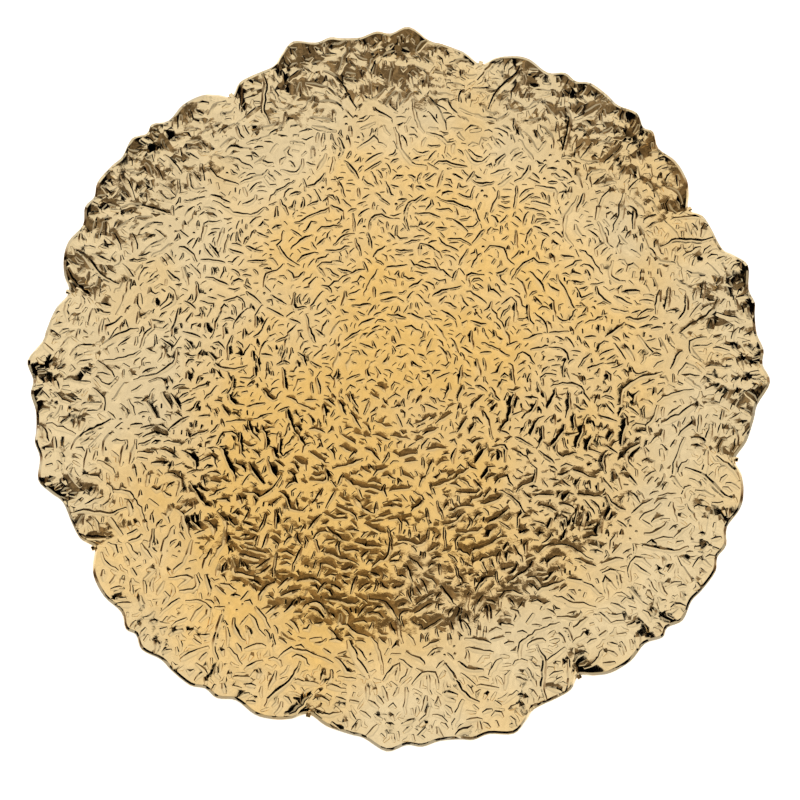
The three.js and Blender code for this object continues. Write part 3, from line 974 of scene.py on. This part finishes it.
def repeat_tree():
    """Copies of the input geometry, turned round the Z axis, welded, swelled and given a finish."""
    tree = bpy.data.node_groups.new("Repeat round the tray", "GeometryNodeTree")
    tree.interface.new_socket("Geometry", in_out="INPUT", socket_type="NodeSocketGeometry")
    for name, kind, value in TREE_INPUTS:
        socket = tree.interface.new_socket(name, in_out="INPUT", socket_type=kind)
        socket.default_value = value
    tree.interface.new_socket("Geometry", in_out="OUTPUT", socket_type="NodeSocketGeometry")
    sizes = add_node(tree, "NodeGroupInput").outputs
    spots = add_node(tree, "GeometryNodePoints", {"Count": sizes["Copies"]})
    step = math_node(tree, "DIVIDE", 2 * math.pi, sizes["Copies"])
    index = add_node(tree, "GeometryNodeInputIndex").outputs[0]
    turn = math_node(tree, "ADD", math_node(tree, "MULTIPLY", index, step), sizes["First turn"])
    about_z = add_node(tree, "ShaderNodeCombineXYZ", {"Z": turn})
    rotation = add_node(tree, "FunctionNodeEulerToRotation", {0: about_z.outputs[0]})
    copies = add_node(tree, "GeometryNodeInstanceOnPoints", {
        "Points": spots.outputs[0], "Instance": sizes["Geometry"], "Rotation": rotation.outputs[0]})
    real = add_node(tree, "GeometryNodeRealizeInstances", {0: copies.outputs[0]})
    weld = add_node(tree, "GeometryNodeMergeByDistance", {
        "Geometry": real.outputs[0], "Distance": sizes["Weld distance"]})
    lumps = add_node(tree, "ShaderNodeTexNoise", {
        "Scale": math_node(tree, "DIVIDE", 1.0, sizes["Swell spacing"]),
        "Detail": SWELL_DETAIL, "W": sizes["Swell seed"]}, noise_dimensions="4D")
    centred = math_node(tree, "SUBTRACT", lumps.outputs["Fac"], NOISE_MEAN)
    position = add_node(tree, "GeometryNodeInputPosition").outputs[0]
    outer = smooth_step(tree, vector_measure(tree, "LENGTH", position), RIM_SWELL)
    gain = math_node(tree, "ADD", 1.0, math_node(tree, "MULTIPLY", outer, sizes["Rim gain"]))
    swell_height = math_node(tree, "MULTIPLY", gain, sizes["Swell height"])
    lift = add_node(tree, "ShaderNodeCombineXYZ", {
        "Z": math_node(tree, "MULTIPLY", centred, swell_height)})
    swell = add_node(tree, "GeometryNodeSetPosition", {
        "Geometry": weld.outputs[0], "Offset": lift.outputs[0]})
    finish = add_node(tree, "GeometryNodeSetMaterial", {
        "Geometry": swell.outputs[0], "Material": sizes["Finish"]})
    add_node(tree, "NodeGroupOutput", {0: finish.outputs[0]})
    return tree


REPEAT = repeat_tree()
REPEAT_SOCKETS = {
    item.name: item.identifier for item in REPEAT.interface.items_tree if item.in_out == "INPUT"}
print("tree:", len(REPEAT.nodes), "nodes, with inputs", ", ".join(REPEAT_SOCKETS))


# %% Face of the whole tray
def repeat_round(name, mesh, finish, **sizes):
    """An object made of copies of a mesh round the tray, turned into a plain mesh."""
    mesh.materials.append(finish)
    obj = add_object(name, mesh)
    modifier = obj.modifiers.new("Repeat", "NODES")
    modifier.node_group = REPEAT
    modifier[REPEAT_SOCKETS["Finish"]] = finish
    for label, value in sizes.items():
        modifier[REPEAT_SOCKETS[label.replace("_", " ")]] = value
    evaluated = obj.evaluated_get(bpy.context.evaluated_depsgraph_get())
    plain = bpy.data.meshes.new_from_object(evaluated)
    obj.modifiers.clear()
    obj.data = plain
    plain.name = name
    return obj


tray = repeat_round("crinkled_tray", quarter_mesh, GOLD, Swell_height=0.0005, Swell_spacing=0.006,
                    Rim_gain=0.6)
print("face:", len(tray.data.vertices), "vertices,", len(tray.data.polygons), "triangles")

# %% [markdown]
# ## Lip, underside and foot ring
#
# The face is still an open sheet. Its edge is a closed loop of points, so rings of faces can run on
# from it: round the lip, back under the wall, down over the foot ring and across to the middle. The
# underside is smooth, since only the upper half of the mould is textured.

# %% Rings from the lip to the foot
FOOT_BOTTOM = 1.2
FLOOR_BOTTOM = FLOOR_TOP - SHELL_THICKNESS
FOOT_OUTER = 108.0
FOOT_INNER = 98.0
FOOT_DRAFT = 0.5
LIP_PROFILE = ((0.7, 0.12), (1, 0.35), (0.85, 0.58))
UNDER_SHARES = (0.99, 0.86, 0.62, 0.3, 0)
FOOT_RINGS = (
    (FOOT_OUTER, FLOOR_BOTTOM), (FOOT_OUTER - FOOT_DRAFT, FOOT_BOTTOM + FOOT_DRAFT),
    (FOOT_OUTER - 2 * FOOT_DRAFT, FOOT_BOTTOM), (FOOT_INNER + 2 * FOOT_DRAFT, FOOT_BOTTOM),
    (FOOT_INNER + FOOT_DRAFT, FOOT_BOTTOM + FOOT_DRAFT), (FOOT_INNER, FLOOR_BOTTOM),
)


def edge_loop(shell):
    """The points of the open edge of a sheet, in order round it."""
    rim = [edge for edge in shell.edges if edge.is_boundary]
    start = rim[0].verts[0]
    loop, edge = [start], rim[0]
    corner = edge.other_vert(start)
    while corner is not start:
        loop.append(corner)
        edge = next(other for other in corner.link_edges if other.is_boundary and other is not edge)
        corner = edge.other_vert(corner)
    assert len(loop) == len(rim), "the face has more than one open edge"
    return loop


def ring_points(loop):
    """Rings of places from the lip to the foot ring, one place in each under each point of the loop."""
    edge = np.array([corner.co[:] for corner in loop]) / MM
    radius, angle = to_polar(edge)
    notch_angle = angle - FIRST_NOTCH
    rings = []
    for out, down in LIP_PROFILE:
        rings.append((radius + LIP_ROUND * out, edge[:, 2] - SHELL_THICKNESS * down))
    for share in UNDER_SHARES:
        reach = FLOOR_RADIUS + (radius - FLOOR_RADIUS) * share
        rings.append((reach, dish_height(reach, notch_angle) - SHELL_THICKNESS))
    rings += [(np.full_like(radius, reach), np.full_like(radius, level)) for reach, level in FOOT_RINGS]
    return [np.column_stack((from_polar(reach, angle), level)) * MM for reach, level in rings]


# %% Close the shell
LIP_START = 0.5
TRAY_SHARP = math.radians(11)

shell = bmesh.new()
shell.from_mesh(tray.data)
lip_layer = shell.verts.layers.float.new("lip")
upper = edge_loop(shell)
rim_count = len(upper)
for corner in upper:
    corner[lip_layer] = LIP_START
for number, ring in enumerate(ring_points(upper)):
    lower = [shell.verts.new(place) for place in ring]
    for corner in lower:
        corner[lip_layer] = float(number < len(LIP_PROFILE))
    for index in range(rim_count):
        shell.faces.new((upper[index - 1], upper[index], lower[index], lower[index - 1]))
    upper = lower
middle = shell.verts.new((0, 0, FLOOR_BOTTOM * MM))
for index in range(rim_count):
    shell.faces.new((upper[index - 1], upper[index], middle))
bmesh.ops.recalc_face_normals(shell, faces=shell.faces)
loose = [edge for edge in shell.edges if not edge.is_manifold]
bmesh.ops.triangulate(shell, faces=shell.faces)
shell.to_mesh(tray.data)
shell.free()
tray.data.shade_smooth()
tray.data.set_sharp_from_angle(angle=TRAY_SHARP)
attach(tray, "root")
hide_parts("tray_shell")
print("tray:", len(tray.data.polygons), "triangles,", len(loose), "open edges,",
      rim_count, "points round the lip")

# %% [markdown]
# ## Gate stubs
#
# Molten plastic reached the mould through small gates, one in each notch of the rim, and a short
# stub is left where each was snapped off. A stub is a bar with softened edges. The quarter has two,
# and the same tree repeats them round the tray.

# %% Gate stubs
GATE_WIDTH = 2.0
GATE_THICKNESS = 1.2
GATE_STANDOUT = 1.2
GATE_ROOT = 2.0
GATE_BEVEL = 0.25
GATE_BEVEL_STEPS = 2
ROUND_BEVEL = 0.5
FINE_WELD = 1e-6


def gate_pair():
    """The two gate stubs of one quarter."""
    length = GATE_ROOT + GATE_STANDOUT
    reach = RIM_RADIUS - NOTCH_DEPTH + GATE_STANDOUT - length / 2
    level = FLOOR_TOP + RIM_RISE - RUFFLE_SLOPE * NOTCH_DEPTH - SHELL_THICKNESS / 2
    bars = bmesh.new()
    for degrees in NOTCHES:
        made = bmesh.ops.create_cube(bars, size=1)["verts"]
        bmesh.ops.scale(bars, vec=(length * MM, GATE_WIDTH * MM, GATE_THICKNESS * MM), verts=made)
        bmesh.ops.translate(bars, vec=(reach * MM, 0, level * MM), verts=made)
        turn = Matrix.Rotation(math.radians(degrees), 3, "Z")
        bmesh.ops.rotate(bars, matrix=turn, verts=made)
    bmesh.ops.bevel(bars, geom=bars.edges[:], offset=GATE_BEVEL * MM, segments=GATE_BEVEL_STEPS,
                    affect="EDGES", profile=ROUND_BEVEL)
    return mesh_from("gate pair", bars)


stubs = repeat_round("gate_stubs", gate_pair(), GOLD, Weld_distance=FINE_WELD)
stubs.data.shade_smooth()
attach(stubs, "root")
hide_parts("tray_shell")
print("gate stubs:", len(stubs.data.polygons), "faces")

# %% [markdown]
# ## Bumper pads
#
# Four small clear bumpers are stuck under the foot ring, so that the tray doesn't slide or scratch.
# Each is a low round drop of soft clear plastic with a rounded edge, turned from a half profile. The
# tree again sets the four copies round the tray.

# %% Clear silicone
SILICONE_DIM = (0.80, 0.79, 0.75, 1)
SILICONE_PALE = (0.90, 0.89, 0.86, 1)
SILICONE_CLOUD = 0.003
SILICONE_IOR = 1.41
SILICONE_CLARITY = 0.55
DUST_SPACING = 0.0012
DUST_ROUGHNESS = (0.28, 0.5)
SILICONE_GRAIN_SPACING = 0.0007
SILICONE_GRAIN = 0.2


def clear_silicone():
    """Soft clear plastic with a faint cloud in it and a dusty skin."""
    material, tree = new_material("clear silicone")
    show_shader(tree, add_node(tree, "ShaderNodeBsdfPrincipled", {
        "Base Color": blend_colour(tree, noise(tree, SILICONE_CLOUD), SILICONE_DIM, SILICONE_PALE),
        "Roughness": noise(tree, DUST_SPACING, *DUST_ROUGHNESS),
        "IOR": SILICONE_IOR,
        "Transmission Weight": SILICONE_CLARITY,
        "Normal": grain(tree, SILICONE_GRAIN_SPACING, SILICONE_GRAIN),
    }))
    return material


SILICONE = clear_silicone()
print("finish:", SILICONE.name, len(SILICONE.node_tree.nodes), "nodes")

# %% Bumper pads
PAD_RADIUS = 4.0
PAD_THICKNESS = FOOT_BOTTOM
PAD_ROUND = 0.5
PAD_SIDES = 32
PAD_ROUND_TURNS = (0, 30, 60, 90)
PAD_TURN = EIGHTH - FIRST_NOTCH
PAD_SHARP = math.radians(40)


def bumper_pad():
    """One bumper pad, with the rounded edge at the bottom, where it stands."""
    centre = (FOOT_OUTER + FOOT_INNER) / 2
    profile = [(PAD_RADIUS - PAD_ROUND * (1 - math.sin(math.radians(turn))),
                PAD_ROUND * (1 - math.cos(math.radians(turn)))) for turn in PAD_ROUND_TURNS]
    profile.append((PAD_RADIUS, PAD_THICKNESS))
    pad = bmesh.new()
    turns = [2 * math.pi * side / PAD_SIDES for side in range(PAD_SIDES)]
    rings = []
    for reach, level in profile:
        places = [(reach * math.cos(turn), reach * math.sin(turn), level) for turn in turns]
        rings.append([pad.verts.new(place) for place in places])
    for lower, upper in zip(rings, rings[1:]):
        for side in range(PAD_SIDES):
            pad.faces.new((lower[side - 1], lower[side], upper[side], upper[side - 1]))
    pad.faces.new(rings[0][::-1])
    pad.faces.new(rings[-1])
    bmesh.ops.translate(pad, vec=(centre, 0, 0), verts=pad.verts)
    bmesh.ops.rotate(pad, matrix=Matrix.Rotation(PAD_TURN, 3, "Z"), verts=pad.verts)
    bmesh.ops.scale(pad, vec=(MM, MM, MM), verts=pad.verts)
    bmesh.ops.recalc_face_normals(pad, faces=pad.faces)
    return mesh_from("bumper pad", pad)


pads = repeat_round("bumper_pads", bumper_pad(), SILICONE, Weld_distance=FINE_WELD)
pads.data.shade_smooth()
pads.data.set_sharp_from_angle(angle=PAD_SHARP)
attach(pads, "root")
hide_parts("bumper_pad_1", "bumper_pad_2", "bumper_pad_3", "bumper_pad_4")
print("bumper pads:", len(pads.data.polygons), "faces")
